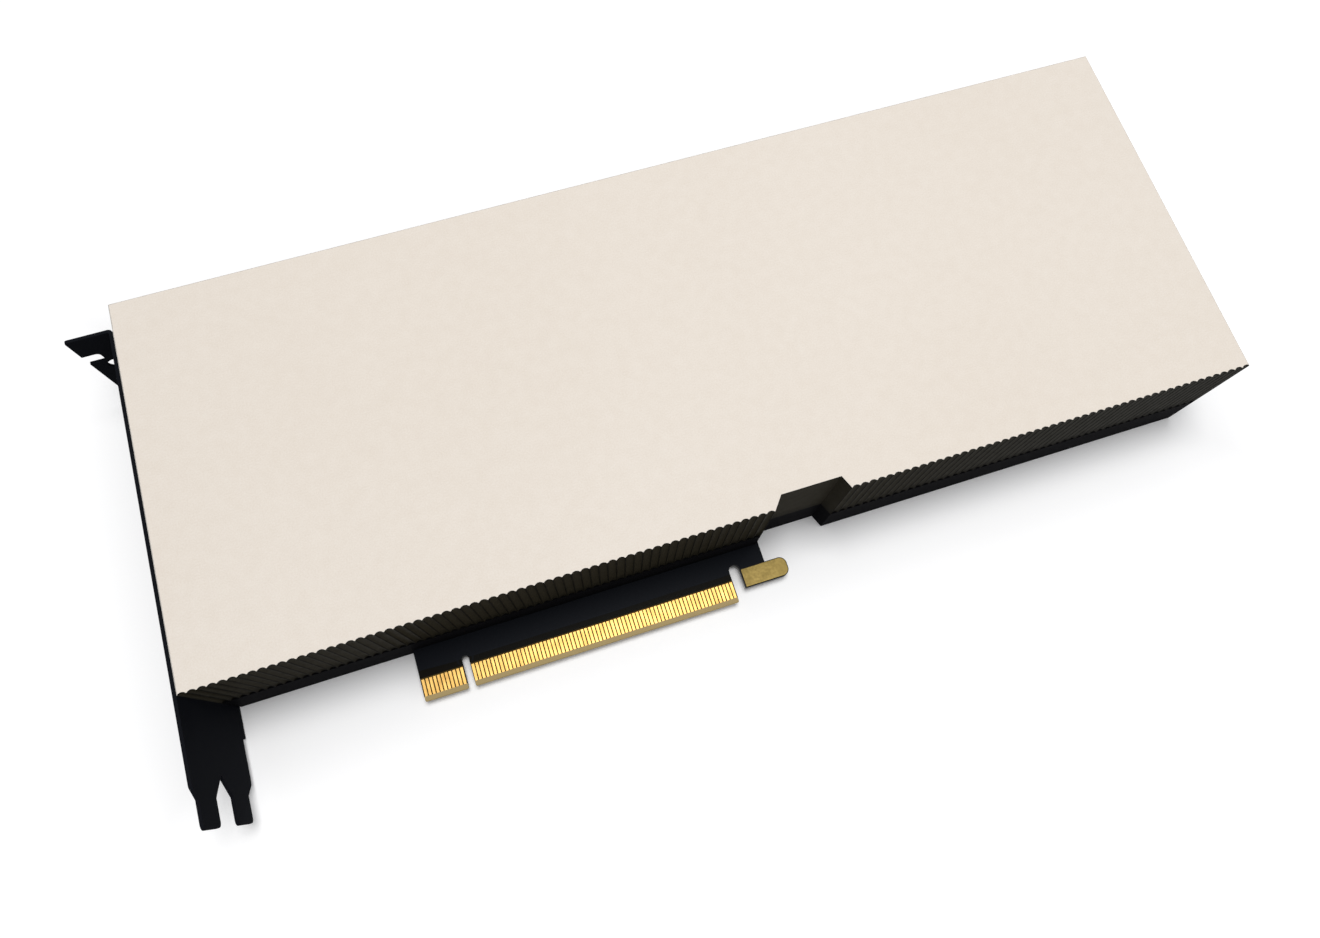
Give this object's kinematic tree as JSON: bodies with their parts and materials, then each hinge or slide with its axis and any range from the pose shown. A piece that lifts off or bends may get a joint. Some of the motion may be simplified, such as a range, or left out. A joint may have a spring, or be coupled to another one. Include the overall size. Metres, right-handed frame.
{
  "type": "passive accelerator card",
  "caption": "Double-width plug-in card with a fluted cover, an edge connector and a vented slot bracket, cooled by air blown through it.",
  "frame": {"origin": "middle of the edge connector's key slot, lower edge of the contact tongue, component face of the circuit board", "axes": "+X along the card away from the slot bracket, +Y from the edge connector across the card, +Z out of the component side, upwards as the card lies on its back"},
  "size_m": [0.2785, 0.1264, 0.0392],
  "materials": {
    "cover_paint": "fine satin paint, pale champagne on the face and near-black on the side walls",
    "frame_paint": "satin black",
    "board": "black solder mask",
    "gold": "hard gold plating",
    "hook_gold": "flash gold plating, duller than the contacts",
    "back_paint": "satin black",
    "heat_pad": "soft grey pad",
    "bracket_black": "satin black plating",
    "substrate": "glass-fibre laminate",
    "silicon": "polished silicon",
    "plated_metal": "nickel plating",
    "chamber_metal": "nickel-plated copper",
    "fin_metal": "plain aluminium",
    "ferrite": "moulded ferrite",
    "moulding": "moulded epoxy",
    "capacitor_body": "moulded epoxy",
    "socket_plastic": "glass-filled nylon",
    "pin_metal": "plated brass",
    "screw_black": "black oxide",
    "screw_steel": "nickel-plated steel"
  },
  "bodies": {
    "root": {"cover": "cover_paint", "frame": "frame_paint", "circuit_board": "board", "edge_contacts_front": "gold", "edge_contacts_back": "gold", "hook_pads": "hook_gold", "backplate": "back_paint", "back_pads": "heat_pad", "slot_bracket": "bracket_black", "substrate": "substrate", "processor_die": "silicon", "memory_stacks": "silicon", "stiffener_ring": "plated_metal", "vapour_chamber": "chamber_metal", "fin_block": "fin_metal", "inductors": "ferrite", "power_stages": "moulding", "capacitors": "capacitor_body", "heat_pads": "heat_pad", "small_chips": "moulding", "power_socket": "socket_plastic", "power_pins": "pin_metal", "backplate_screws": "screw_black", "clamp_screws": "screw_steel", "cover_screws": "screw_black", "bracket_screws": "screw_black"}
  },
  "joints": []
}
